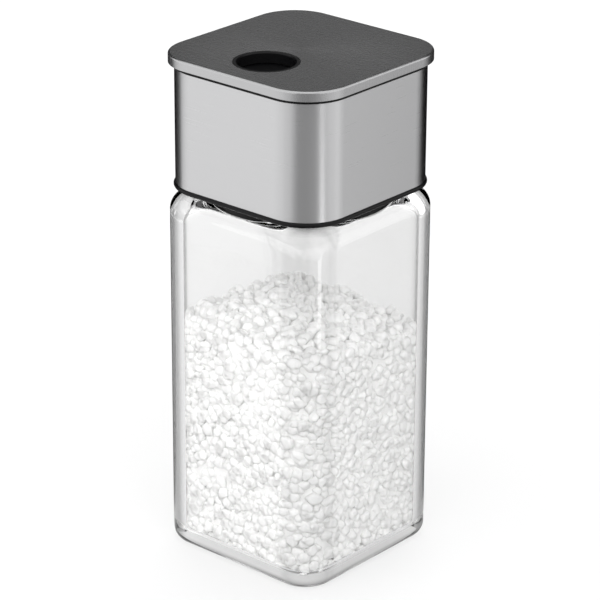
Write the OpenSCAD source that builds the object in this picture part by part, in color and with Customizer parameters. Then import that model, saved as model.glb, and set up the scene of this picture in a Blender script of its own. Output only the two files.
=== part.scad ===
// Square glass spice shaker with a screw-on steel cap and a turning top plate.
// Millimetres. The origin is the middle of the jar's base, Z is up and the front looks along -Y.

/* [Jar] */
// Width of the square glass body, which the neck and the cap follow
jar_w = 58; // [52:0.5:70]
// Height of the shoulder above the table
jar_h = 109; // [90:1:140]
// Radius of the upright corners of the body
jar_corner = 10; // [8:0.5:14]
// Radius of the edge round the base
base_round = 4; // [2:0.5:6]
// Radius of the shoulder curve
shoulder_round = 5.5; // [3:0.5:7]
// Thickness of the glass in the side walls
wall_t = 3; // [2:0.1:3.5]
// Thickness of the glass in the base
base_t = 3.6; // [3:0.1:8]
// Thickness of the glass under the shoulder
shoulder_t = 3.4; // [3:0.1:5]
// Radius of the hollow's edges, at the floor and under the shoulder
inner_round = 3; // [1.5:0.5:5]
// Radius of the hollow's upright corners
inner_corner = 8; // [6:0.5:10]

/* [Salt] */
// Height of the salt's top in the middle of the jar
salt_top = 71.3; // [30:0.1:90]
// Slope of the salt's top, in degrees
salt_tilt = 4.7; // [0:0.1:8]
// Direction in which the salt's top falls, in degrees from the right side towards the back
salt_heading = 70; // [0:5:180]
// Space between the salt and the glass walls
salt_gap = 0.3; // [0.2:0.1:1]
// Distance between the lumps that the salt's surface is made of
lump_pitch = 8.7; // [7:0.1:12]
// Depth of the hollows between the lumps
lump_rise = 2; // [0.5:0.1:3]

/* [Neck and thread] */
// How far the neck is set in from the side of the body
neck_in = 5.8; // [5.4:0.1:8]
// Thickness of the glass in the neck
neck_t = 2.8; // [2:0.1:4]
// Radius of the outer edge of the rim
rim_round = 0.9; // [0.4:0.1:1.4]
// Height of the neck above the shoulder
neck_h = 12; // [11:0.5:14]
// Depth of the round recess in the shoulder, in which the cap's skirt runs
recess_h = 1.4; // [0.8:0.1:2]
// Clearance of the skirt in the recess
recess_gap = 0.3; // [0.2:0.05:0.5]
// Rise of the thread in one turn
thread_lead = 12; // [11.6:0.1:13]
// Height of the thread ridges
thread_depth = 1.1; // [0.8:0.1:1.3]
// Width of a ridge at its foot
thread_w = 1.4; // [1:0.1:1.6]
// Turn that each ridge on the glass runs through, in degrees
jar_sweep = 120; // [60:5:130]
// Turn that each ridge in the cap runs through, in degrees
cap_sweep = 90; // [45:5:100]

/* [Cap] */
// How far the steel sleeve is set in from the side of the jar
cap_in = 0.2; // [0:0.1:1]
// Radius of the sleeve's upright corners
cap_corner = 13.2; // [10:0.2:15]
// Height of the sleeve
sleeve_h = 34; // [32:0.5:45]
// Thickness of the sleeve's sheet
sleeve_t = 0.8; // [0.5:0.1:1]
// How far the lip under the sleeve stands out
lip_out = 0.5; // [0.2:0.1:1.2]
// Height of the lip
lip_h = 1.5; // [1:0.1:2.5]
// Space between the lip and the shoulder
lip_gap = 1.5; // [1.4:0.1:3]
// Thickness of the inner cap's square wall
liner_t = 1.6; // [1.2:0.1:2]
// Thickness of the threaded skirt
skirt_t = 1.9; // [1.8:0.1:2.2]
// Thickness of the deck over the neck
deck_t = 2; // [1.5:0.1:3]
// How far the deck reaches in past the mouth
deck_in = 2.4; // [1:0.1:6]
// Thickness of the sealing ring
seal_t = 1.5; // [1:0.1:2.5]
// Clearance of the sealing ring in the skirt and from the mouth
seal_gap = 0.2; // [0.1:0.05:0.4]

/* [Shaker plate] */
// Thickness of the shaker plate
shaker_t = 2.6; // [2:0.1:4]
// Height of its rim above the sleeve
rim_h = 0.6; // [0.4:0.1:1]
// How far the rim is set in from the sleeve's face
rim_in = 0.3; // [0.1:0.1:0.6]
// Distance of the stations from the middle
station_r = 14.5; // [13.5:0.1:15]
// Radius of each hole in the fine station
fine_r = 1.1; // [0.6:0.1:1.3]
// Radius of each hole in the coarse station
coarse_r = 2; // [1.5:0.1:2.2]
// Radius of the pour station's opening
pour_r = 6.8; // [4:0.1:7]

/* [Top plate] */
// How far the top plate stands out past the sleeve
plate_out = 1.15; // [0.9:0.05:2]
// Radius of the top plate's upright corners
plate_corner = 13; // [10:0.2:15]
// Height of the top plate
plate_h = 2.8; // [2.4:0.1:4]
// Thickness of the top plate's sheet
plate_t = 0.8; // [0.5:0.1:1]
// Radius of the top plate's upper edge
plate_edge = 0.6; // [0.3:0.1:0.7]
// How far the moulding shows below the top plate
carrier_show = 0.3; // [0.1:0.1:0.6]
// Radius of the pour hole in the steel
hole_r = 9.4; // [8.5:0.1:9.8]
// Thickness of the ring in the pour hole
ring_t = 1.25; // [0.8:0.05:1.6]
// How far the ring's flange stands out under the steel
ring_flange = 1.3; // [0.8:0.1:1.6]
// Thickness of the ring's flange
flange_t = 1; // [0.6:0.1:1.2]

/* [Pivot] */
// Radius of the spindle
spindle_r = 3.2; // [2.6:0.1:3.6]
// Radius of the hub under the shaker plate
hub_r = 5.6; // [5:0.1:6]
// Depth of the hub under the shaker plate
hub_h = 2; // [1:0.5:4]
// Height that the spring takes up under the hub
spring_room = 1.1; // [0.9:0.1:1.6]
// Thickness of the spring's sheet
spring_t = 0.35; // [0.25:0.05:0.5]
// Thickness of the flat washer
washer_t = 0.6; // [0.4:0.1:1]
// Radius of the flat washer
washer_r = 5.6; // [5:0.1:6.5]
// Radius of the screw's shank
screw_r = 1.2; // [0.9:0.1:1.5]
// Radius of the screw's head
head_r = 2.8; // [2.2:0.1:3.4]
// Height of the screw's head
head_h = 1.8; // [1.4:0.1:2.4]

/* [Clearances] */
// Gap between the shaker plate and what turns on it
turn_gap = 0.3; // [0.2:0.05:0.5]
// Running clearance of the spindle in its hub
run_fit = 0.05; // [0.03:0.01:0.1]
// Clearance of the thread at its crests
thread_fit = 0.3; // [0.25:0.05:0.4]
// Clearance round pieces that are fixed to each other
slip = 0.1; // [0.05:0.05:0.2]

/* [Hidden] */
$fn = 96;
eps = 0.01;
// Four starts let the square cap end square to the jar.
thread_starts = 4;
// Angle at which the cap's first ridge begins.
cap_start = 15;
jar_half = jar_w / 2;
sleeve_half = jar_half - cap_in;
plate_half = sleeve_half + plate_out;
neck_r = jar_half - neck_in;
mouth_r = neck_r - neck_t;
deck_hole_r = mouth_r - deck_in;
mouth_z = jar_h + neck_h;
lip_z = jar_h + lip_gap;
sleeve_z = lip_z + lip_h;
sleeve_top = sleeve_z + sleeve_h;
deck_z = mouth_z + seal_t;
shaker_top = sleeve_top + rim_h;
shaker_z = shaker_top - shaker_t;
carrier_z = shaker_top + turn_gap;
plate_z = carrier_z + carrier_show;
plate_top = plate_z + plate_h;
carrier_top = plate_top - plate_t;
flange_z = carrier_top - flange_t;
hub_z = shaker_z - hub_h;
spindle_z = hub_z - spring_room;
washer_z = spindle_z - washer_t;
head_z = washer_z - head_h;
liner_half = sleeve_half - sleeve_t - slip;
liner_corner = cap_corner - sleeve_t - slip;
skirt_r = neck_r + thread_depth + thread_fit;
recess_r = skirt_r + skirt_t + recess_gap;
recess_z = jar_h - recess_h;
skirt_z = recess_z + recess_gap;
thread_pitch = thread_lead / thread_starts;
thread_top_w = thread_w * 0.6;
jar_thread_z = mouth_z - 2.2 - thread_lead * jar_sweep / 360;
cap_thread_z = jar_thread_z - thread_pitch / 2 + thread_lead * cap_start / 360;
fine_step = fine_r * 2 + 0.9;
coarse_step = coarse_r * 2 + 0.8;

// Half section of a slab, with its outer edges rounded below and above.
module slab_section(width, low, high, round_low, round_high) {
    foot = round_low > 0
        ? [[width - round_low, low], [width, low + round_low]]
        : [[width, low]];
    head = round_high > 0
        ? [[width, high - round_high], [width - round_high, high]]
        : [[width, high]];
    polygon(concat([[0, low]], foot, head, [[0, high]]));
    if (round_low > 0)
        translate([width - round_low, low + round_low])
            intersection() {
                circle(r = round_low);
                translate([0, -round_low])
                    square(round_low);
            }
    if (round_high > 0)
        translate([width - round_high, high - round_high])
            intersection() {
                circle(r = round_high);
                square(round_high);
            }
}

// Square slab with rounded upright corners and rounded edges below and above.
module slab(half, corner, low, high, round_low, round_high) {
    reach = half - corner;
    for (turn = [0 : 90 : 270])
        rotate(turn) {
            translate([reach, reach, 0])
                rotate_extrude(angle = 90)
                    slab_section(corner, low, high, round_low, round_high);
            translate([reach, reach, 0])
                rotate([90, 0, 0])
                    linear_extrude(height = 2 * reach)
                        slab_section(corner, low, high, round_low, round_high);
        }
    translate([-reach, -reach, low])
        cube([2 * reach, 2 * reach, high - low]);
}

// Outline of a square with rounded corners.
module square_outline(half, corner) {
    square([2 * half, 2 * (half - corner)], center = true);
    square([2 * (half - corner), 2 * half], center = true);
    for (x = [-1, 1], y = [-1, 1])
        translate([x * (half - corner), y * (half - corner)])
            circle(r = corner);
}

// Plain square prism with rounded upright corners.
module prism(half, corner, low, high) {
    translate([0, 0, low])
        linear_extrude(height = high - low)
            square_outline(half, corner);
}

// Disc about the upright axis.
module disc(radius, low, high) {
    translate([0, 0, low])
        cylinder(r = radius, h = high - low);
}

// One ridge of the thread, from its inner to its outer radius, with the width at each.
module ridge(inner_r, outer_r, inner_w, outer_w, start_z, start, sweep) {
    steps = ceil(sweep / 5);
    points = [for (i = [0 : steps])
        let (a = start + sweep * i / steps)
        let (z = start_z + thread_lead * sweep * i / steps / 360)
        each [
            [inner_r * cos(a), inner_r * sin(a), z - inner_w / 2],
            [outer_r * cos(a), outer_r * sin(a), z - outer_w / 2],
            [outer_r * cos(a), outer_r * sin(a), z + outer_w / 2],
            [inner_r * cos(a), inner_r * sin(a), z + inner_w / 2]
        ]];
    sides = [for (i = [0 : steps - 1], k = [0 : 3])
        let (p = 4 * i + k)
        let (q = 4 * i + (k + 1) % 4)
        each [[p, q + 4, p + 4], [p, q, q + 4]]];
    last = 4 * steps;
    ends = [[0, 2, 1], [0, 3, 2], [last, last + 1, last + 2], [last, last + 2, last + 3]];
    polyhedron(points = points, faces = concat(sides, ends));
}

// Clear square jar: hollow body, round neck in a shallow recess, and four thread ridges.
module glass_jar() {
    color([0.9, 0.95, 0.95, 0.5]) {
        difference() {
            union() {
                difference() {
                    slab(jar_half, jar_corner, 0, jar_h, base_round, shoulder_round);
                    disc(recess_r, recess_z, jar_h + 1);
                }
                rotate_extrude()
                    slab_section(neck_r, recess_z - 1, mouth_z, 0, rim_round);
            }
            slab(jar_half - wall_t, inner_corner, base_t, jar_h - shoulder_t,
                inner_round, inner_round);
            disc(mouth_r, jar_h - shoulder_t - 1, mouth_z + 1);
        }
        for (i = [0 : thread_starts - 1])
            ridge(neck_r - 0.3, neck_r + thread_depth, thread_w, thread_top_w,
                jar_thread_z, i * 360 / thread_starts, jar_sweep);
    }
}

// Point at a step round a rounded square that has a number of steps to a side, set back from its edge.
function side_point(step, steps, half, corner, back) =
    let (t = half * (2 * (step % steps) / steps - 1))
    let (on_square = [[t, -half], [half, t], [-t, half], [-half, -t]][floor(step / steps)])
    let (flat = half - corner)
    let (middle = [for (v = on_square) max(-flat, min(flat, v))])
    let (out = on_square - middle)
    middle + out / norm(out) * (corner - back);

// Height of the salt's sloping top over a point.
function salt_height(p) =
    salt_top - (p.x * cos(salt_heading) + p.y * sin(salt_heading)) * tan(salt_tilt);

// Two triangles on four points, clockwise from outside, split along the dip when the first point is one.
function split_quad(a, b, c, d, dip) =
    dip ? [[a, d, c], [a, c, b]] : [[a, d, b], [b, d, c]];

// The salt: pointed lumps in a chequered net, pressed to the glass and heaped to a sloping top.
module coarse_salt() {
    half = jar_half - wall_t - salt_gap;
    corner = inner_corner - salt_gap;
    low = base_t + inner_round;
    net = lump_pitch / sqrt(2);
    across = round(2 * half / net);
    rows = round((salt_top - low) / net);
    around = 4 * across;
    top_start = around * (rows + 2);
    // Each net point is a peak or a dip, and no two have the same depth.
    uneven = rands(0, 0.25, top_start + across * across, 1);
    foot = [for (k = [0 : around - 1])
        let (p = side_point(k, across, half, corner, inner_round))
        [p.x, p.y, base_t]];
    sides = [for (j = [0 : rows], k = [0 : around - 1])
        let (dip = (j + k + rows) % 2)
        let (back = lump_rise * abs(dip - uneven[around * j + k]))
        let (p = side_point(k, across, half, corner, back))
        let (top = salt_height(p) - (j == rows ? back : 0))
        [p.x, p.y, low + (top - low) * j / rows]];
    heap = [for (v = [1 : across - 1], u = [1 : across - 1])
        let (p = [2 * u / across - 1, 2 * v / across - 1] * half)
        let (back = lump_rise * abs((u + v) % 2 - uneven[top_start + across * v + u]))
        [p.x, p.y, salt_height(p) - back]];
    side_faces = [for (j = [0 : rows], k = [0 : around - 1])
        let (a = around * j + k)
        let (b = around * j + (k + 1) % around)
        each split_quad(a, b, b + around, a + around, (j + 1 + k + rows) % 2 == 1)];
    // Number of the point at a place in the top's net, whose edge is the last row of the sides.
    function top_point(u, v) =
        v == 0 ? top_start - around + u
        : u == across ? top_start - around + across + v
        : v == across ? top_start - around + 3 * across - u
        : u == 0 ? top_start - v
        : top_start + (v - 1) * (across - 1) + u - 1;
    top_faces = [for (v = [0 : across - 1], u = [0 : across - 1])
        each split_quad(top_point(u, v), top_point(u + 1, v), top_point(u + 1, v + 1), top_point(u, v + 1),
            (u + v) % 2 == 1)];
    color([0.96, 0.96, 0.95])
        polyhedron(points = concat(foot, sides, heap),
            faces = concat([[for (k = [0 : around - 1]) k]], side_faces, top_faces));
}

// Flat ring between the rim of the neck and the deck.
module neck_seal() {
    color([0.85, 0.85, 0.82])
        difference() {
            disc(skirt_r - seal_gap, mouth_z, deck_z);
            disc(mouth_r + seal_gap, mouth_z - 1, deck_z + 1);
        }
}

// Black inner cap: lip, square wall, deck and threaded skirt, with open corners underneath.
module cap_liner() {
    hollow_half = liner_half - liner_t;
    hollow_corner = liner_corner - liner_t;
    color([0.09, 0.09, 0.1]) {
        difference() {
            union() {
                slab(sleeve_half + lip_out, cap_corner + lip_out, lip_z, sleeve_z,
                    lip_h * 0.49, lip_h * 0.49);
                prism(liner_half, liner_corner, lip_z + lip_h / 2, shaker_z);
            }
            prism(hollow_half, hollow_corner, lip_z - 1, deck_z);
            prism(hollow_half, hollow_corner, deck_z + deck_t, shaker_z + 1);
            disc(deck_hole_r, deck_z - 1, deck_z + deck_t + 1);
        }
        difference() {
            disc(skirt_r + skirt_t, skirt_z, deck_z + 0.5);
            disc(skirt_r, skirt_z - 1, deck_z);
            disc(deck_hole_r, deck_z - 1, deck_z + deck_t + 1);
        }
        for (i = [0 : thread_starts - 1])
            ridge(skirt_r - thread_depth, skirt_r + 0.3, thread_top_w, thread_w,
                cap_thread_z, cap_start + i * 360 / thread_starts, cap_sweep);
    }
}

// Square steel sleeve between the lip and the rim of the shaker plate.
module cap_sleeve() {
    color([0.75, 0.75, 0.76])
        difference() {
            prism(sleeve_half, cap_corner, sleeve_z, sleeve_top);
            prism(sleeve_half - sleeve_t, cap_corner - sleeve_t, sleeve_z - 1, sleeve_top + 1);
        }
}

// Fixed plate with its hub and stations; the one under the pour hole at rest is closed.
module shaker_plate() {
    color([0.07, 0.07, 0.08])
        difference() {
            union() {
                prism(liner_half, liner_corner, shaker_z, shaker_top);
                prism(sleeve_half - rim_in, cap_corner - rim_in, sleeve_top, shaker_top);
                disc(hub_r, hub_z, shaker_z + 1);
            }
            disc(spindle_r + run_fit, hub_z - 1, shaker_top + 1);
            translate([station_r, 0, 0])
                fine_holes();
            translate([0, station_r, 0])
                coarse_holes();
            translate([-station_r, 0, 0])
                disc(pour_r, shaker_z - 1, shaker_top + 1);
        }
}

// Nineteen small holes in a hexagon.
module fine_holes() {
    for (row = [-2 : 2], col = [0 : 4 - abs(row)])
        translate([(col - (4 - abs(row)) / 2) * fine_step, row * fine_step * sin(60), 0])
            disc(fine_r, shaker_z - 1, shaker_top + 1);
}

// Seven large holes, one in the middle of six.
module coarse_holes() {
    disc(coarse_r, shaker_z - 1, shaker_top + 1);
    for (turn = [0 : 60 : 300])
        rotate(turn)
            translate([coarse_step, 0, 0])
                disc(coarse_r, shaker_z - 1, shaker_top + 1);
}

// Black moulding under the top plate, with the spindle in the middle.
module turn_carrier() {
    color([0.08, 0.08, 0.09])
        difference() {
            union() {
                prism(plate_half - plate_t - slip, plate_corner - plate_t - slip,
                    carrier_z, carrier_top);
                disc(spindle_r, spindle_z, carrier_z + 1);
            }
            translate([0, -station_r, 0]) {
                disc(hole_r, carrier_z - 1, carrier_top + 1);
                disc(hole_r + ring_flange, flange_z, carrier_top + 1);
            }
            disc(screw_r + slip / 2, spindle_z - 1, carrier_top - 0.8);
        }
}

// Drawn steel tray with the pour hole.
module top_plate() {
    color([0.62, 0.62, 0.63])
        difference() {
            slab(plate_half, plate_corner, plate_z, plate_top, 0, plate_edge);
            prism(plate_half - plate_t, plate_corner - plate_t, plate_z - 1, carrier_top);
            translate([0, -station_r, 0])
                disc(hole_r, plate_z - 1, plate_top + 1);
        }
}

// Ring that lines the pour hole, held by its flange under the steel.
module pour_ring() {
    color([0.1, 0.1, 0.11])
        translate([0, -station_r, 0])
            difference() {
                union() {
                    disc(hole_r - slip, carrier_z, plate_top);
                    disc(hole_r + ring_flange - slip, flange_z, carrier_top);
                }
                disc(hole_r - ring_t, carrier_z - 1, plate_top + 1);
                translate([0, 0, plate_top - 0.3])
                    cylinder(r1 = hole_r - ring_t, r2 = hole_r - ring_t + 0.3, h = 0.3 + eps);
            }
}

// Cone spring between the flat washer and the hub.
module spring_washer() {
    inner_r = spindle_r + 0.4;
    outer_r = washer_r - 0.1;
    high = hub_z - 0.1 - spring_t;
    color([0.6, 0.6, 0.62])
        rotate_extrude()
            polygon([
                [inner_r, high],
                [inner_r + 0.4, high],
                [outer_r - 0.4, spindle_z],
                [outer_r, spindle_z],
                [outer_r, spindle_z + spring_t],
                [outer_r - 0.4, spindle_z + spring_t],
                [inner_r + 0.4, high + spring_t],
                [inner_r, high + spring_t]
            ]);
}

// Flat washer under the spindle's end.
module pivot_washer() {
    color([0.7, 0.7, 0.72])
        difference() {
            disc(washer_r, washer_z, spindle_z);
            disc(screw_r + 0.2, washer_z - 1, spindle_z + 1);
        }
}

// Pan-head screw with a cross recess.
module pivot_screw() {
    color([0.55, 0.55, 0.57])
        difference() {
            union() {
                rotate_extrude()
                    slab_section(head_r, head_z, washer_z, head_h * 0.5, 0.1);
                disc(screw_r, washer_z - 0.5, carrier_top - 1.2);
            }
            for (turn = [0, 90])
                rotate(turn)
                    translate([-head_r * 0.6, -0.35, head_z - 1])
                        cube([head_r * 1.2, 0.7, 2]);
        }
}

glass_jar();
coarse_salt();
neck_seal();
cap_liner();
cap_sleeve();
shaker_plate();
turn_carrier();
top_plate();
pour_ring();
spring_washer();
pivot_washer();
pivot_screw();
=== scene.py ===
# %% [markdown]
# # A square glass spice shaker, dressed in Blender
#
# The shaker is a clear square jar of coarse salt under a steel cap. Its solids come from a CAD model
# that is already packed, with the jar, the cap and the turning top plate as separate bodies. This
# lesson keeps those solids where they are and gives them real surfaces: pressed glass, brushed steel,
# moulded plastic, and a jar full of single salt crystals.

# %% Load the frame
import math

import bmesh
import bpy
import numpy as np
from mathutils import Matrix, Vector


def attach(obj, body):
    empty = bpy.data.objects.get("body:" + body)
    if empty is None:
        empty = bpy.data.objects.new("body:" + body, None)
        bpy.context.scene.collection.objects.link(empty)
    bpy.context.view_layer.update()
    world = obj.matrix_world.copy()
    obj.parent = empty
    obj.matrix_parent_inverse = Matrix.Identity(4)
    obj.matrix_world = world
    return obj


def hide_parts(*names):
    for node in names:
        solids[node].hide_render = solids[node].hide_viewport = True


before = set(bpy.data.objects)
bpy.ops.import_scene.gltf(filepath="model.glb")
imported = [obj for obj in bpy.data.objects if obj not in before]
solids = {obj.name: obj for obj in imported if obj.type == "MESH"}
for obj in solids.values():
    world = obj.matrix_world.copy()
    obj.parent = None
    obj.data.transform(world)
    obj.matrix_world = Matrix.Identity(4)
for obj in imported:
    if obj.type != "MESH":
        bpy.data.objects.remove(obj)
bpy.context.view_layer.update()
print("solids:", sorted(solids))

# %% [markdown]
# ## Units and colours
#
# Blender works in metres and linear light. Sizes here are easier to read in millimetres, and colours
# as the hex values that a paint or screen chart gives, so two small functions turn one into the other.

# %% Millimetres and hex colours
MM = 0.001


def linear(hex_text):
    """Turns an sRGB hex colour into the linear RGBA that a shader socket takes."""
    parts = [int(hex_text[i:i + 2], 16) / 255 for i in (1, 3, 5)]
    return tuple(c / 12.92 if c <= 0.04045 else ((c + 0.055) / 1.055) ** 2.4 for c in parts) + (1.0,)


# %% [markdown]
# ## The camera
#
# The photograph looks down on the shaker's front corner from a little above, through a long lens that
# keeps the upright edges nearly parallel. A camera fit to the photograph's edges gave the direction,
# the distance and the focal length for a square frame of 600 by 600 pixels.

# %% Camera
AZIMUTH = math.radians(40.97)
ELEVATION = math.radians(22.79)
ROLL = math.radians(0.28)
AIM = Vector((0, 0, 74.73 * MM))
DISTANCE = 856.68 * MM

back = Vector((math.sin(AZIMUTH) * math.cos(ELEVATION),
               -math.cos(AZIMUTH) * math.cos(ELEVATION),
               math.sin(ELEVATION)))
right = Vector((math.cos(AZIMUTH), math.sin(AZIMUTH), 0))
up = back.cross(right)
tilted_right = right * math.cos(ROLL) + up * math.sin(ROLL)
tilted_up = up * math.cos(ROLL) - right * math.sin(ROLL)

camera_data = bpy.data.cameras.new("long_lens")
camera_data.lens = 179.44
camera_data.sensor_width = 36
camera = bpy.data.objects.new("long_lens", camera_data)
bpy.context.collection.objects.link(camera)
turned = Matrix((tilted_right, tilted_up, back)).transposed().to_4x4()
camera.matrix_world = Matrix.Translation(AIM + back * DISTANCE) @ turned
bpy.context.scene.camera = camera
print("camera at", [round(v, 3) for v in camera.matrix_world.translation])

# %% [markdown]
# ## One helper for shader nodes
#
# Every finish below is a small node graph. One function adds a node, sets its options and sockets, and
# links what feeds it, so a graph reads as a short list.


# %% Node helper
def add_node(tree, kind, sockets=None, links=None, **options):
    """Adds a node with its options, socket values and incoming links, and returns it."""
    node = tree.nodes.new(kind)
    for name, value in options.items():
        setattr(node, name, value)
    for name, value in (sockets or {}).items():
        node.inputs[name].default_value = value
    for name, source in (links or {}).items():
        tree.links.new(source, node.inputs[name])
    return node


def start_material(name):
    """Makes a material and returns it with its node tree and its Principled shader."""
    material = bpy.data.materials.new(name)
    material.use_nodes = True
    tree = material.node_tree
    return material, tree, tree.nodes["Principled BSDF"]


# %% [markdown]
# ## White studio
#
# The photograph has a pure white ground with a soft shadow where the jar meets it. The floor scatters
# light like matt paper, and adds its own white only for rays from the camera and for those that metal
# or glass send on, so it looks white without lighting the shaker from below. Far from the shaker, where
# the lamps don't reach, this white grows and hides the horizon. The floor lies a hair over the jar's flat
# underside, so that no gap of light shows between them.

# %% Floor and surroundings
FLOOR_REACH, FLOOR_LIFT = 4.0, 0.03 * MM
NEAR, FAR = 0.4, 1.5
WHITE_NEAR, WHITE_FAR = 0.59, 1.0

studio = bpy.context.scene
studio.view_settings.view_transform = "Standard"

# Matt paper has no shine, so the ground stays one even white.
paper, tree, shader = start_material("white_paper_sweep")
shader.inputs["Base Color"].default_value = linear("#929292")
shader.inputs["Roughness"].default_value = 0.9
shader.inputs["Specular IOR Level"].default_value = 0.0
ray = add_node(tree, "ShaderNodeLightPath")
seen = add_node(tree, "ShaderNodeMath", operation="MAXIMUM",
                links={0: ray.outputs["Is Camera Ray"], 1: ray.outputs["Is Glossy Ray"]})
seen = add_node(tree, "ShaderNodeMath", operation="MAXIMUM",
                links={0: seen.outputs[0], 1: ray.outputs["Is Transmission Ray"]})
place = add_node(tree, "ShaderNodeTexCoord")
far = add_node(tree, "ShaderNodeVectorMath", operation="LENGTH", links={0: place.outputs["Object"]})
white = add_node(tree, "ShaderNodeMapRange",
                 sockets={"From Min": NEAR, "From Max": FAR, "To Min": WHITE_NEAR, "To Max": WHITE_FAR},
                 links={"Value": far.outputs["Value"]})
glow = add_node(tree, "ShaderNodeMath", operation="MULTIPLY",
                links={0: seen.outputs[0], 1: white.outputs["Result"]})
shader.inputs["Emission Color"].default_value = linear("#FFFFFF")
tree.links.new(glow.outputs[0], shader.inputs["Emission Strength"])

floor_mesh = bpy.data.meshes.new("paper_floor")
corners = [(x * FLOOR_REACH, y * FLOOR_REACH, 0) for x, y in ((-1, -1), (1, -1), (1, 1), (-1, 1))]
floor_mesh.from_pydata(corners, [], [(0, 1, 2, 3)])
floor = bpy.data.objects.new("paper_floor", floor_mesh)
floor.location.z = FLOOR_LIFT
bpy.context.collection.objects.link(floor)
floor.data.materials.append(paper)

world = bpy.data.worlds.new("white_room")
world.use_nodes = True
studio.world = world
tree = world.node_tree
tree.nodes["Background"].inputs["Color"].default_value = linear("#FFFFFF")
tree.nodes["Background"].inputs["Strength"].default_value = 1.0
print("floor and white room ready")

# %% [markdown]
# ## Cards and lamps
#
# Polished metal and glass show only what stands round them. A photographer puts dark cards beside and
# behind the object, just out of the picture, to draw its edges, and a strip light where a highlight
# should run. The cards here show in reflections only. Most of what the sleeve mirrors is the floor, so a
# fan of grey steps lies round the shaker: each step is one of the upright bands in the steel. Three
# large soft lamps light the salt, the strongest shares from the left and the front. Directions are given
# as a turn from the camera's line of sight, so the layout reads like a plan of the studio.


# %% Card material
card_light = bpy.data.materials.new("card_light")
card_light.use_nodes = True
tree = card_light.node_tree
tree.nodes.remove(tree.nodes["Principled BSDF"])
glow = add_node(tree, "ShaderNodeAttribute", attribute_name="glow")
light = add_node(tree, "ShaderNodeEmission", links={"Strength": glow.outputs["Fac"]})
tree.links.new(light.outputs[0], tree.nodes["Material Output"].inputs["Surface"])

# %% Card helpers
AHEAD = Vector((-math.sin(AZIMUTH), math.cos(AZIMUTH), 0))
FAN_INNER, FAN_OUTER, FAN_LIFT = 0.03, 1.2, 0.4 * MM


def place_card(name, points, faces, glows):
    """Makes a glowing sheet that shows in reflections only."""
    mesh = bpy.data.meshes.new(name)
    mesh.from_pydata(points, [], faces)
    layer = mesh.attributes.new("glow", "FLOAT", "POINT")
    layer.data.foreach_set("value", glows)
    mesh.materials.append(card_light)
    sheet = bpy.data.objects.new(name, mesh)
    bpy.context.collection.objects.link(sheet)
    for kind in ("camera", "diffuse", "transmission", "shadow", "volume_scatter"):
        setattr(sheet, "visible_" + kind, False)


def upright_card(name, turn, distance, low, high, width, glow):
    """Stands a card round the shaker; turn is in degrees to the right from straight behind."""
    spin = Matrix.Rotation(-math.radians(turn), 3, "Z")
    middle = spin @ AHEAD * distance
    side = spin @ right * (width / 2)
    ends = [middle - side, middle + side]
    points = [(p.x, p.y, low) for p in ends] + [(p.x, p.y, high) for p in reversed(ends)]
    place_card(name, points, [(0, 1, 2, 3)], [glow] * 4)


def floor_fan(name, steps):
    """Lays a fan round the shaker, just over the floor; steps hold a turn and the glow there."""
    points, glows, faces = [], [], []
    for turn, glow in steps:
        ray = Matrix.Rotation(-math.radians(turn), 3, "Z") @ AHEAD
        for far in (FAN_INNER, FAN_OUTER):
            points.append((ray.x * far, ray.y * far, FAN_LIFT))
            glows.append(glow)
    for i in range(0, len(points) - 2, 2):
        faces.append((i, i + 1, i + 3, i + 2))
    place_card(name, points, faces, glows)


# %% Cards
GREY_STEPS = [(0, 0.0), (35, 0.0), (58, 0.02), (72, 0.5), (82, 0.63), (90, 0.67), (98, 0.93),
              (112, 0.8), (131, 0.62), (150, 0.43), (173, 0.37), (193, 0.36), (214, 0.7),
              (233, 0.88), (252, 1.0), (270, 1.0), (295, 0.04), (325, 0.0), (360, 0.0)]

floor_fan("floor_in_metal", GREY_STEPS)
upright_card("dark_wall_left", -37, 0.60, 0.0, 0.75, 0.50, 0.002)
upright_card("dark_wall_right", 42, 0.60, 0.0, 0.75, 0.50, 0.002)
upright_card("dark_overhead", 0, 0.75, 0.17, 1.10, 1.20, 0.003)
upright_card("grey_overhead", 0, 0.70, 0.17, 0.90, 0.15, 0.17)
upright_card("grey_wall_front", 180, 0.45, 0.0, 0.30, 0.40, 0.3)
upright_card("strip_front", 145, 0.20, 0.0, 0.034, 0.035, 4.0)


# %% Lamps
LAMP_DISTANCE, LAMP_SIZE = 1.0, 1.2


def softbox(name, turn, height, power):
    """Hangs a square area lamp round the shaker, aimed at its middle; power is in watts."""
    spot = Matrix.Rotation(-math.radians(turn), 3, "Z") @ AHEAD * LAMP_DISTANCE
    spot.z = height
    data = bpy.data.lights.new(name, "AREA")
    data.energy = power
    data.size = LAMP_SIZE
    lamp = bpy.data.objects.new(name, data)
    aimed = (AIM - spot).to_track_quat("-Z", "Y").to_matrix().to_4x4()
    lamp.matrix_world = Matrix.Translation(spot) @ aimed
    bpy.context.collection.objects.link(lamp)
    lamp.visible_camera = False
    lamp.visible_glossy = False


softbox("key_left", -125, 0.75, 6.2)
softbox("fill_front", 165, 0.7, 8.2)
softbox("fill_back", 10, 0.75, 7.0)
print("cards and lamps stand round the shaker")

# %% [markdown]
# ## Finishes for the cap
#
# The sleeve is stainless sheet, brushed round the cap with a fine belt. The scratches run level, so a
# reflection is drawn out upwards and stays sharp sideways, which gives the crisp upright bands in the
# photograph. The Principled shader does this with its anisotropy, and a noise that is stretched along
# the belt's path adds the single scratches.


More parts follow.
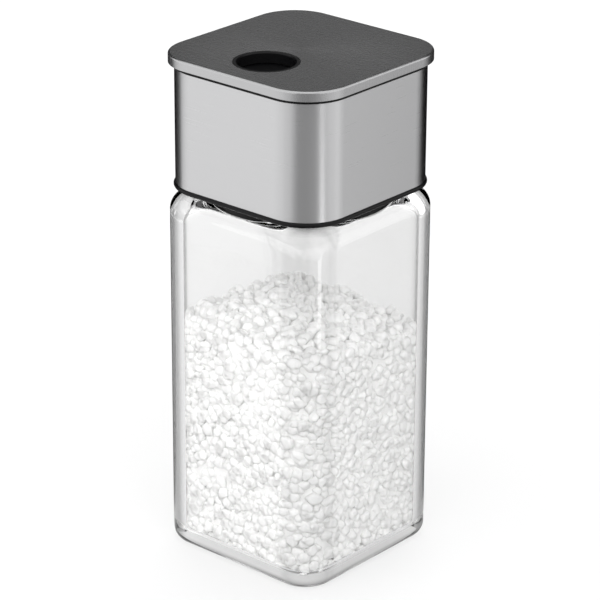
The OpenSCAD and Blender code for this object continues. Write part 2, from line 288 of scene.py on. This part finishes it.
# %% Brushed stainless steel
def brushed_stainless(name, colour, roughness, anisotropy, rotation, stretch, depth):
    """Stainless sheet; stretch holds a scratch's size in mm along X, Y and Z."""
    material, tree, shader = start_material(name)
    shader.inputs["Base Color"].default_value = linear(colour)
    shader.inputs["Metallic"].default_value = 1.0
    shader.inputs["Roughness"].default_value = roughness
    shader.inputs["Anisotropic"].default_value = anisotropy
    shader.inputs["Anisotropic Rotation"].default_value = rotation
    place = add_node(tree, "ShaderNodeTexCoord")
    scale = add_node(tree, "ShaderNodeMapping", sockets={"Scale": [1 / (v * MM) for v in stretch]},
                     links={"Vector": place.outputs["Object"]})
    scratch = add_node(tree, "ShaderNodeTexNoise", sockets={"Scale": 1.0, "Detail": 3.0, "Roughness": 0.65},
                       links={"Vector": scale.outputs["Vector"]})
    bump = add_node(tree, "ShaderNodeBump", sockets={"Strength": depth, "Distance": 0.02 * MM},
                    links={"Height": scratch.outputs["Fac"]})
    tree.links.new(bump.outputs["Normal"], shader.inputs["Normal"])
    rough = add_node(tree, "ShaderNodeMapRange",
                     sockets={"From Min": 0.3, "From Max": 0.7,
                              "To Min": roughness * 0.85, "To Max": roughness * 1.15},
                     links={"Value": scratch.outputs["Fac"]})
    tree.links.new(rough.outputs["Result"], shader.inputs["Roughness"])
    return material


# Level scratches draw a reflection out upwards, and the eye sees crisp upright bands.
sleeve_steel = brushed_stainless("brushed_stainless_sleeve", "#D0D0D1", roughness=0.32, anisotropy=0.8,
                                 rotation=0.25, stretch=(26, 26, 0.3), depth=0.02)
# A finer, more even brushing gives the plate its calm satin grey.
plate_steel = brushed_stainless("satin_stainless_plate", "#C4C4C5", roughness=0.28, anisotropy=0.3,
                                rotation=0.0, stretch=(30, 0.4, 30), depth=0.03)
print("steel:", sleeve_steel.name, plate_steel.name)

# %% [markdown]
# The black pieces are moulded polypropylene. Its skin is half gloss with a very fine orange peel from
# the mould, and its black is never quite black.

# %% Moulded polypropylene
# The fine orange peel breaks the gloss, and the eye reads soft black plastic.
moulded, tree, shader = start_material("moulded_black_polypropylene")
shader.inputs["Base Color"].default_value = linear("#0C0C0D")
shader.inputs["Roughness"].default_value = 0.3
shader.inputs["Specular IOR Level"].default_value = 0.2
shader.inputs["IOR"].default_value = 1.49
place = add_node(tree, "ShaderNodeTexCoord")
peel = add_node(tree, "ShaderNodeTexNoise", sockets={"Scale": 1 / (0.6 * MM), "Detail": 2.0},
                links={"Vector": place.outputs["Object"]})
bump = add_node(tree, "ShaderNodeBump", sockets={"Strength": 0.1, "Distance": 0.03 * MM},
                links={"Height": peel.outputs["Fac"]})
tree.links.new(bump.outputs["Normal"], shader.inputs["Normal"])
print("plastic:", moulded.name)

# %% [markdown]
# Under the shaker plate are a zinc-plated screw, its washer and a cone spring, and the seal on the neck
# is translucent silicone with a slightly dusty skin. They show when the cap comes off.

# %% Small metal and silicone
# Uneven plating gives the small metal a lightly mottled shine.
plated, tree, shader = start_material("zinc_plated_steel")
shader.inputs["Base Color"].default_value = linear("#B9BABD")
shader.inputs["Metallic"].default_value = 1.0
shader.inputs["Roughness"].default_value = 0.32
place = add_node(tree, "ShaderNodeTexCoord")
mottle = add_node(tree, "ShaderNodeTexNoise", sockets={"Scale": 1 / (0.8 * MM), "Detail": 3.0},
                  links={"Vector": place.outputs["Object"]})
rough = add_node(tree, "ShaderNodeMapRange", sockets={"To Min": 0.24, "To Max": 0.42},
                 links={"Value": mottle.outputs["Fac"]})
tree.links.new(rough.outputs["Result"], shader.inputs["Roughness"])

# Light scattered inside makes the seal look milky.
silicone, tree, shader = start_material("moulded_silicone")
shader.inputs["Base Color"].default_value = linear("#DADAD4")
shader.inputs["Roughness"].default_value = 0.55
shader.inputs["IOR"].default_value = 1.41
shader.inputs["Subsurface Weight"].default_value = 0.3
shader.inputs["Subsurface Radius"].default_value = (1.0, 1.0, 0.9)
shader.inputs["Subsurface Scale"].default_value = 0.8 * MM
place = add_node(tree, "ShaderNodeTexCoord")
dust = add_node(tree, "ShaderNodeTexNoise", sockets={"Scale": 1 / (1.5 * MM), "Detail": 4.0},
                links={"Vector": place.outputs["Object"]})
rough = add_node(tree, "ShaderNodeMapRange", sockets={"To Min": 0.45, "To Max": 0.68},
                 links={"Value": dust.outputs["Fac"]})
tree.links.new(rough.outputs["Result"], shader.inputs["Roughness"])
print("small pieces:", plated.name, silicone.name)


# %% Dress the solids of the cap
def dress(node, material):
    """Gives a CAD solid one material, and leaves its mesh alone."""
    slots = solids[node].data.materials
    slots.clear()
    slots.append(material)


for node in ("cap_liner", "shaker_plate", "turn_carrier", "pour_ring"):
    dress(node, moulded)
for node in ("spring_washer", "pivot_washer", "pivot_screw"):
    dress(node, plated)
dress("cap_sleeve", sleeve_steel)
dress("top_plate", plate_steel)
dress("neck_seal", silicone)
print("cap dressed")

# %% [markdown]
# ## The jar
#
# Clear glass shows each facet and each false normal, so the jar is made again as one smooth skin. It is
# lofted from rings: each ring is a rounded square or a circle with the same number of points, and the
# rings run up the outside, over the rim of the neck, and down the inside to the floor.

# %% Sizes of the jar
HALF, CORNER = 29.0, 10.0
BASE_ROUND, SHOULDER_ROUND = 4.0, 5.5
WALL, BASE, SHOULDER_T, INNER_ROUND, INNER_CORNER = 3.0, 3.6, 3.4, 3.0, 8.0
SHOULDER_Z, NECK_R, MOUTH_R, NECK_H = 109.0, 23.2, 20.4, 12.0
RIM_ROUND, NECK_FILLET, MOUTH_ROUND, THROAT_ROUND = 0.9, 0.5, 0.6, 0.8
RECESS_R, RECESS_H, RECESS_DRAFT = 26.8, 1.4, 0.5
THREAD_LEAD, THREAD_DEPTH, THREAD_W, THREAD_SWEEP, THREAD_DROP = 12.0, 1.1, 1.4, 120.0, 2.2
MOUTH_Z = SHOULDER_Z + NECK_H
THREAD_Z = MOUTH_Z - THREAD_DROP - THREAD_LEAD * THREAD_SWEEP / 360

ALONG = [i / 10 for i in range(10)] + [0.97]
ARC = [math.pi / 2 * i / 20 for i in range(21)]


def outline(half, corner):
    """Points of a rounded square, from the middle of the right side and round to the left."""
    flat = half - corner
    first = [(half, flat * f) for f in ALONG]
    first += [(flat + corner * math.cos(a), flat + corner * math.sin(a)) for a in ARC]
    first += [(flat * f, half) for f in reversed(ALONG[1:])]
    first = np.array(first)
    quarters = [first]
    for _ in range(3):
        last = quarters[-1]
        quarters.append(np.stack([-last[:, 1], last[:, 0]], axis=1))
    return np.concatenate(quarters)


HEADINGS = np.arctan2(outline(HALF, CORNER)[:, 1], outline(HALF, CORNER)[:, 0])


def square_ring(half, corner, z):
    """A level ring in the shape of a rounded square."""
    flat = outline(half, corner)
    return np.column_stack([flat, np.full(len(flat), z)])


def round_ring(radius, z):
    """A level circle, with its points on the same headings as the square rings."""
    radius = np.broadcast_to(radius, HEADINGS.shape)
    z = np.broadcast_to(z, HEADINGS.shape)
    return np.column_stack([radius * np.cos(HEADINGS), radius * np.sin(HEADINGS), z])


print("points in a ring:", len(HEADINGS))


# %% [markdown]
# The neck stands in a shallow round recess, where the black skirt of the cap runs. In the middle of each
# side the recess comes close to the shoulder's curve, and through the glass the skirt shows there as a
# dark crescent. A mould leaves no sharp edge, so the two heights are joined by a soft minimum, and the
# hollow's top edge grows rounder towards its corners, where the glass is thickest.

# %% Heights of the shoulder and the recess
ROUNDER_FROM, ROUNDER_TO, CORNER_EDGE = 0.45, 0.9, 5.2


def slab_top(x, y, half, corner, top, rounding):
    """Height of a rounded slab's upper side at points in plan."""
    over_x, over_y = np.abs(x) - (half - corner), np.abs(y) - (half - corner)
    inset = np.where((over_x > 0) & (over_y > 0), corner - np.hypot(over_x, over_y),
                     np.minimum(half - np.abs(x), half - np.abs(y)))
    rest = np.clip(rounding - inset, 0, rounding)
    return top - rounding + np.sqrt(rounding ** 2 - rest ** 2)


def soft_min(a, b, reach):
    """The lower of two heights, with a rounded change over."""
    share = np.clip(0.5 + 0.5 * (b - a) / reach, 0, 1)
    return b + (a - b) * share - reach * share * (1 - share)


def shoulder_height(x, y):
    """Height of the shoulder's outside, with the recess and its sloped wall."""
    rise = np.maximum(0, np.hypot(x, y) - RECESS_R) / RECESS_DRAFT
    recess = SHOULDER_Z - RECESS_H + rise * RECESS_H
    return soft_min(slab_top(x, y, HALF, CORNER, SHOULDER_Z, SHOULDER_ROUND), recess, 0.4)


def ceiling_height(x, y):
    """Height of the hollow's top, whose edge grows rounder towards the corners."""
    lean = np.minimum(np.abs(x), np.abs(y)) / np.maximum(np.abs(x), np.abs(y))
    share = np.clip((lean - ROUNDER_FROM) / (ROUNDER_TO - ROUNDER_FROM), 0, 1)
    rounding = INNER_ROUND + (CORNER_EDGE - INNER_ROUND) * share * share * (3 - 2 * share)
    return slab_top(x, y, HALF - WALL, INNER_CORNER, SHOULDER_Z - SHOULDER_T, rounding)


# %% Outside of the jar
def thread_height(z):
    """How far the thread's ridges stand out of the neck at a height, on each heading."""
    out = np.zeros(len(HEADINGS))
    for start in range(4):
        turn = np.degrees(HEADINGS - start * math.pi / 2) % 360
        off = np.abs(z - (THREAD_Z + THREAD_LEAD * turn / 360))
        ridge = np.clip((THREAD_W / 2 - off) / (THREAD_W * 0.2), 0, 1) * THREAD_DEPTH
        fade = np.clip(np.minimum(turn, THREAD_SWEEP - turn) / 4, 0, 1)
        out = np.maximum(out, ridge * fade)
    return out


QUARTER = [math.pi / 2 * i / 12 for i in range(13)]
rings = [square_ring(HALF - BASE_ROUND - 0.5, CORNER - BASE_ROUND - 0.5, 0.0)]
for a in QUARTER:
    out = BASE_ROUND * (1 - math.sin(a))
    rings.append(square_ring(HALF - out, CORNER - out, BASE_ROUND * (1 - math.cos(a))))
rings.append(square_ring(HALF, CORNER, BASE_ROUND + 0.6))
rings.append(square_ring(HALF, CORNER, SHOULDER_Z - SHOULDER_ROUND - 0.6))
wall = outline(HALF, CORNER)
foot = round_ring(RECESS_R, 0.0)[:, :2]
for i in range(33):
    plan = wall + (foot - wall) * (1 - math.cos(math.pi / 2 * i / 32))
    rings.append(np.column_stack([plan, shoulder_height(plan[:, 0], plan[:, 1])]))
recess_z = SHOULDER_Z - RECESS_H
for a in QUARTER[::3]:
    out, rise = NECK_FILLET * (1 - math.sin(a)), NECK_FILLET * (1 - math.cos(a))
    rings.append(round_ring(NECK_R + out, recess_z - 0.05 + rise))
for z in np.arange(recess_z + 0.7, MOUTH_Z - RIM_ROUND - 0.1, 0.2):
    rings.append(round_ring(NECK_R + thread_height(z), z))
for a in QUARTER[::2]:
    back_in, drop = RIM_ROUND * (1 - math.cos(a)), RIM_ROUND * (1 - math.sin(a))
    rings.append(round_ring(NECK_R - back_in, MOUTH_Z - drop))
outside_count = len(rings)

# %% Inside of the jar
for a in QUARTER[::3]:
    out, drop = MOUTH_ROUND * (1 - math.sin(a)), MOUTH_ROUND * (1 - math.cos(a))
    rings.append(round_ring(MOUTH_R + out, MOUTH_Z - drop))
ceiling = SHOULDER_Z - SHOULDER_T
rings.append(round_ring(MOUTH_R, ceiling + 1.0))
for a in QUARTER[::3]:
    out, rise = THROAT_ROUND * (1 - math.cos(a)), THROAT_ROUND * (1 - math.sin(a))
    rings.append(round_ring(MOUTH_R + out, ceiling + rise))
inner_half, inner_corner = HALF - WALL, INNER_CORNER
wall = outline(inner_half, inner_corner)
foot = round_ring(MOUTH_R + 1.0, 0.0)[:, :2]
for i in range(33):
    plan = foot + (wall - foot) * math.sin(math.pi / 2 * i / 32)
    rings.append(np.column_stack([plan, ceiling_height(plan[:, 0], plan[:, 1])]))
rings.append(square_ring(inner_half, inner_corner, ceiling - CORNER_EDGE - 0.6))
rings.append(square_ring(inner_half, inner_corner, BASE + INNER_ROUND + 0.6))
for a in reversed(QUARTER):
    out = INNER_ROUND * (1 - math.sin(a))
    rings.append(square_ring(inner_half - out, inner_corner - out, BASE + INNER_ROUND * (1 - math.cos(a))))
rings.append(square_ring(inner_half - INNER_ROUND - 0.5, inner_corner - INNER_ROUND - 0.5, BASE))
print("rings outside and in all:", outside_count, len(rings))


# %% Loft the rings
WELD = 0.002 * MM
SHARP_FROM = math.radians(50)


def loft(name, rings, material):
    """Joins rings of equal length into one closed skin and caps both ends."""
    count = len(rings[0])
    points = np.concatenate(rings) * MM
    faces = []
    for r in range(len(rings) - 1):
        for i in range(count):
            j = (i + 1) % count
            faces.append((r * count + i, r * count + j, (r + 1) * count + j, (r + 1) * count + i))
    faces.append(tuple(reversed(range(count))))
    faces.append(tuple(range((len(rings) - 1) * count, len(rings) * count)))
    mesh = bpy.data.meshes.new(name)
    mesh.from_pydata(points.tolist(), [], faces)
    skin = bmesh.new()
    skin.from_mesh(mesh)
    bmesh.ops.remove_doubles(skin, verts=skin.verts, dist=WELD)
    bmesh.ops.dissolve_degenerate(skin, edges=skin.edges, dist=WELD)
    bmesh.ops.recalc_face_normals(skin, faces=skin.faces)
    skin.to_mesh(mesh)
    skin.free()
    mesh.shade_smooth()
    mesh.set_sharp_from_angle(angle=SHARP_FROM)
    piece = bpy.data.objects.new(name, mesh)
    bpy.context.collection.objects.link(piece)
    mesh.materials.append(material)
    print(name, "has", len(mesh.polygons), "faces")
    return piece


# %% [markdown]
# Pressed soda-lime glass has an index near 1.5 and almost no colour in a thin wall. Where the eye looks
# along the wall, and in the corners, the glass's colour here turns grey: a faint grey for the long path
# in the glass, deepened into painted shade that stands in for the dark edges of thick glass. The mould
# leaves faint waves a couple of centimetres long, which make reflections waver a little. Lamp light
# passes straight through, because clear glass throws hardly any shadow on the salt behind it.

# %% Pressed soda-lime glass
# Painted shade: the colour greys along the glancing edges and in the corners, so the glass looks thick.
glass, tree, shader = start_material("pressed_soda_lime_glass")
place = add_node(tree, "ShaderNodeTexCoord")
plan = add_node(tree, "ShaderNodeVectorMath", operation="ABSOLUTE", links={0: place.outputs["Object"]})
plan = add_node(tree, "ShaderNodeSeparateXYZ", links={0: plan.outputs["Vector"]})
near = add_node(tree, "ShaderNodeMath", operation="MINIMUM",
                links={0: plan.outputs["X"], 1: plan.outputs["Y"]})
# Painted shade: the glass's colour turns darker towards the jar's corners.
corner_painted_shade = add_node(tree, "ShaderNodeMapRange",
                 sockets={"From Min": (HALF - 13) * MM, "From Max": (HALF - 5) * MM,
                          "To Min": 1.0, "To Max": 0.86},
                 links={"Value": near.outputs[0]})
edge = add_node(tree, "ShaderNodeLayerWeight", sockets={"Blend": 0.5})
# Painted shade: the colour darkens where the glass is seen at a glancing angle, over a wider range round
# the corners.
rim = add_node(tree, "ShaderNodeMapRange",
               sockets={"From Min": 0.37, "From Max": 0.58, "To Min": 0.93, "To Max": 0.28},
               links={"Value": edge.outputs["Facing"]})
bend = add_node(tree, "ShaderNodeMapRange",
                sockets={"From Min": 0.15, "From Max": 0.52, "To Min": 0.93, "To Max": 0.25},
                links={"Value": edge.outputs["Facing"]})
corner = add_node(tree, "ShaderNodeMapRange",
                  sockets={"From Min": (HALF - CORNER - 1) * MM, "From Max": (HALF - CORNER + 2) * MM},
                  links={"Value": near.outputs[0]})
rim = add_node(tree, "ShaderNodeMix",
               links={"Factor": corner.outputs["Result"], "A": rim.outputs["Result"],
                      "B": bend.outputs["Result"]})
# The glass's grey colour is the painted shade of the corners and the glancing edges together.
grey = add_node(tree, "ShaderNodeMath", operation="MULTIPLY",
                links={0: corner_painted_shade.outputs["Result"], 1: rim.outputs["Result"]})
tree.links.new(grey.outputs[0], shader.inputs["Base Color"])
shader.inputs["Roughness"].default_value = 0.0
shader.inputs["IOR"].default_value = 1.5
shader.inputs["Transmission Weight"].default_value = 1.0
wave = add_node(tree, "ShaderNodeTexNoise", sockets={"Scale": 1 / (18 * MM), "Detail": 1.0},
                links={"Vector": place.outputs["Object"]})
bump = add_node(tree, "ShaderNodeBump", sockets={"Strength": 0.02, "Distance": 1.0 * MM},
                links={"Height": wave.outputs["Fac"]})
tree.links.new(bump.outputs["Normal"], shader.inputs["Normal"])
ray = add_node(tree, "ShaderNodeLightPath")
passing = add_node(tree, "ShaderNodeBsdfTransparent", sockets={"Color": linear("#FFFFFF")})
surface = add_node(tree, "ShaderNodeMixShader",
                   links={0: ray.outputs["Is Shadow Ray"], 1: shader.outputs[0], 2: passing.outputs[0]})
tree.links.new(surface.outputs[0], tree.nodes["Material Output"].inputs["Surface"])

jar = loft("jar_glass", rings, glass)
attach(jar, "jar")
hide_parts("glass_jar")

# %% [markdown]
# ## The salt
#
# Coarse salt is broken crystal, so the jar holds single grains, two to four millimetres across. Filling
# the whole jar would waste most of them where no one looks, so the grains stand in a layer along the
# glass, the floor and the heap's top, and a plain core fills the middle. Each grain is a stretched ball
# pressed flat on several sides, which gives worn faces and blunt edges. A grain that would poke into the
# glass is flattened against it, as a heap presses its grains to the wall. Salt is clear in itself and
# looks white because light wanders inside each grain, so a shallow scattering softens the shadows.

# %% Rock salt
# Light that wanders inside the grains fills their shadows, and the heap looks white and soft.
salt, tree, shader = start_material("rock_salt_crystals")
shader.inputs["Roughness"].default_value = 0.3
shader.inputs["IOR"].default_value = 1.54
shader.inputs["Subsurface Weight"].default_value = 0.35
shader.inputs["Subsurface Radius"].default_value = (1.0, 1.0, 1.0)
shader.inputs["Subsurface Scale"].default_value = 0.8 * MM
tone = add_node(tree, "ShaderNodeAttribute", attribute_name="grain_tone")
shade = add_node(tree, "ShaderNodeMix", data_type="RGBA",
                 sockets={"A": linear("#FAFAF9"), "B": linear("#FFFFFE")},
                 links={"Factor": tone.outputs["Fac"]})
tree.links.new(shade.outputs["Result"], shader.inputs["Base Color"])
place = add_node(tree, "ShaderNodeTexCoord")
frost = add_node(tree, "ShaderNodeTexNoise", sockets={"Scale": 1 / (0.5 * MM), "Detail": 2.0},
                 links={"Vector": place.outputs["Object"]})
bump = add_node(tree, "ShaderNodeBump", sockets={"Strength": 0.25, "Distance": 0.1 * MM},
                links={"Height": frost.outputs["Fac"]})
tree.links.new(bump.outputs["Normal"], shader.inputs["Normal"])
print("salt:", salt.name)

# %% Shape of the heap
SALT_TOP, SALT_TILT, SALT_HEADING = 71.3, math.radians(4.7), math.radians(70)
SWELL, SWELL_R = 1.5, 30.0
DRIFT, DRIFT_FROM, DRIFT_TO = 1.8, 12.0, 32.0
GRAINS_STAND_OUT = 1.0
GAP = 0.12


def heap_top(x, y):
    """Height of the heap's top: a slope that swells in the middle and drifts up in the back corner."""
    fall = (x * math.cos(SALT_HEADING) + y * math.sin(SALT_HEADING)) * math.tan(SALT_TILT)
    swell = SWELL * (1 - np.minimum(1, (x * x + y * y) / SWELL_R ** 2))
    towards_back = (y - x) / math.sqrt(2)
    drift = DRIFT * np.clip((towards_back - DRIFT_FROM) / (DRIFT_TO - DRIFT_FROM), 0, 1) ** 2
    return SALT_TOP - fall + swell + drift - GRAINS_STAND_OUT


def room(points):
    """Distance from each point to the glass or the floor, negative outside the hollow."""
    flat = inner_half - inner_corner
    over = np.maximum(np.abs(points[:, :2]) - flat, 0)
    side = inner_corner - np.hypot(over[:, 0], over[:, 1])
    return np.minimum(side, points[:, 2] - BASE)


# %% Patterns for the grains
PATTERN_COUNT, PRESSED_SIDES, PRESSED_AT, SEED = 24, 9, (0.6, 0.85), 5395


def grain_pattern(rng):
    """Points and triangles of one worn crystal: a ball pressed flat on a few sides."""
    ball = bmesh.new()
    bmesh.ops.create_icosphere(ball, subdivisions=2, radius=1.0)
    ball.verts.index_update()
    corners = np.array([v.co for v in ball.verts])
    triangles = np.array([[v.index for v in f.verts] for f in ball.faces])
    ball.free()
    for _ in range(PRESSED_SIDES):
        facing = rng.normal(size=3)
        facing /= np.linalg.norm(facing)
        over = np.maximum(corners @ facing - rng.uniform(*PRESSED_AT), 0)
        corners -= over[:, None] * facing
    return corners, triangles


rng = np.random.default_rng(SEED)
patterns = [grain_pattern(rng) for _ in range(PATTERN_COUNT)]
print("a grain has", len(patterns[0][1]), "faces")

# %% Places for the grains
SPACING, LAYER_FROM, LAYER_TO = 2.0, 0.75, 2.6
span = np.arange(-inner_half, inner_half, SPACING)
tall = np.arange(BASE, SALT_TOP + 6, SPACING)
spots = np.stack(np.meshgrid(span, span, tall, indexing="ij"), axis=-1).reshape(-1, 3)
spots += rng.uniform(-0.5, 0.5, size=spots.shape) * SPACING
depth = np.minimum(room(spots), heap_top(spots[:, 0], spots[:, 1]) - spots[:, 2])
spots = spots[(depth > LAYER_FROM) & (depth < LAYER_TO)]
print("grains:", len(spots))


# %% Build the grains
GRAIN_RADIUS, GRAIN_STRETCH, SPLIT_Z = (1.45, 2.25), (0.8, 1.15), 38


def turn_matrix(rng):
    """A random turn in space."""
    q = rng.normal(size=4)
    w, x, y, z = q / np.linalg.norm(q)
    return np.array([[1 - 2 * (y * y + z * z), 2 * (x * y - z * w), 2 * (x * z + y * w)],
                     [2 * (x * y + z * w), 1 - 2 * (x * x + z * z), 2 * (y * z - x * w)],
                     [2 * (x * z - y * w), 2 * (y * z + x * w), 1 - 2 * (x * x + y * y)]])


def keep_inside(points):
    """Flattens what would poke into the glass or the floor."""
    flat = inner_half - inner_corner
    limit = inner_corner - GAP
    over = np.sign(points[:, :2]) * np.maximum(np.abs(points[:, :2]) - flat, 0)
    length = np.hypot(over[:, 0], over[:, 1])
    shrink = np.minimum(1, limit / np.maximum(length, 1e-9))
    points[:, :2] -= over * (1 - shrink)[:, None]
    near = np.minimum(inner_half - np.abs(points[:, 0]), inner_half - np.abs(points[:, 1]))
    rest = np.maximum(0, INNER_ROUND - near)
    floor_z = BASE + GAP + INNER_ROUND - np.sqrt(np.maximum(0, INNER_ROUND ** 2 - rest ** 2))
    points[:, 2] = np.maximum(points[:, 2], floor_z)
    return points


def grain_mesh(name, chosen):
    """Joins the chosen grains into one mesh, with a tone for each grain."""
    corners, triangles, tones, start = [], [], [], 0
    for spot in chosen:
        shape, faces = patterns[rng.integers(len(patterns))]
        size = rng.uniform(*GRAIN_RADIUS) * rng.uniform(*GRAIN_STRETCH, size=3)
        placed = keep_inside((shape * size) @ turn_matrix(rng).T + spot)
        corners.append(placed)
        triangles.append(faces + start)
        tones.append(np.full(len(placed), rng.uniform(0, 1)))
        start += len(placed)
    mesh = bpy.data.meshes.new(name)
    mesh.from_pydata((np.concatenate(corners) * MM).tolist(), [], np.concatenate(triangles).tolist())
    layer = mesh.attributes.new("grain_tone", "FLOAT", "POINT")
    layer.data.foreach_set("value", np.concatenate(tones))
    mesh.shade_smooth()
    piece = bpy.data.objects.new(name, mesh)
    bpy.context.collection.objects.link(piece)
    mesh.materials.append(salt)
    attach(piece, "jar")
    print(name, len(chosen), "grains,", len(mesh.polygons), "faces")
    return piece


low = spots[:, 2] < SPLIT_Z
grain_mesh("salt_grains_lower", spots[low])
grains_high = grain_mesh("salt_grains_upper", spots[~low])
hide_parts("coarse_salt")

# %% The core of the heap
CORE_IN, CORE_SLOPE, CORE_SLOPE_H, CORE_TONE = 1.6, 3, 1.5, 0.6
core_half, core_corner = inner_half - CORE_IN, inner_corner - CORE_IN
core_rings = [square_ring(core_half - CORE_SLOPE, core_corner - CORE_SLOPE, BASE + CORE_IN),
              square_ring(core_half, core_corner, BASE + CORE_IN + CORE_SLOPE_H)]
top_ring = square_ring(core_half, core_corner, 0.0)
core_rings.append(top_ring)
inner_ring = square_ring(core_half * 0.5, core_corner * 0.5, 0.0)
core_rings.append(inner_ring)
for ring in (top_ring, inner_ring):
    ring[:, 2] = heap_top(ring[:, 0], ring[:, 1]) - CORE_IN
core = loft("salt_core", core_rings, salt)
tones = core.data.attributes.new("grain_tone", "FLOAT", "POINT")
tones.data.foreach_set("value", [CORE_TONE] * len(core.data.vertices))
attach(core, "jar")
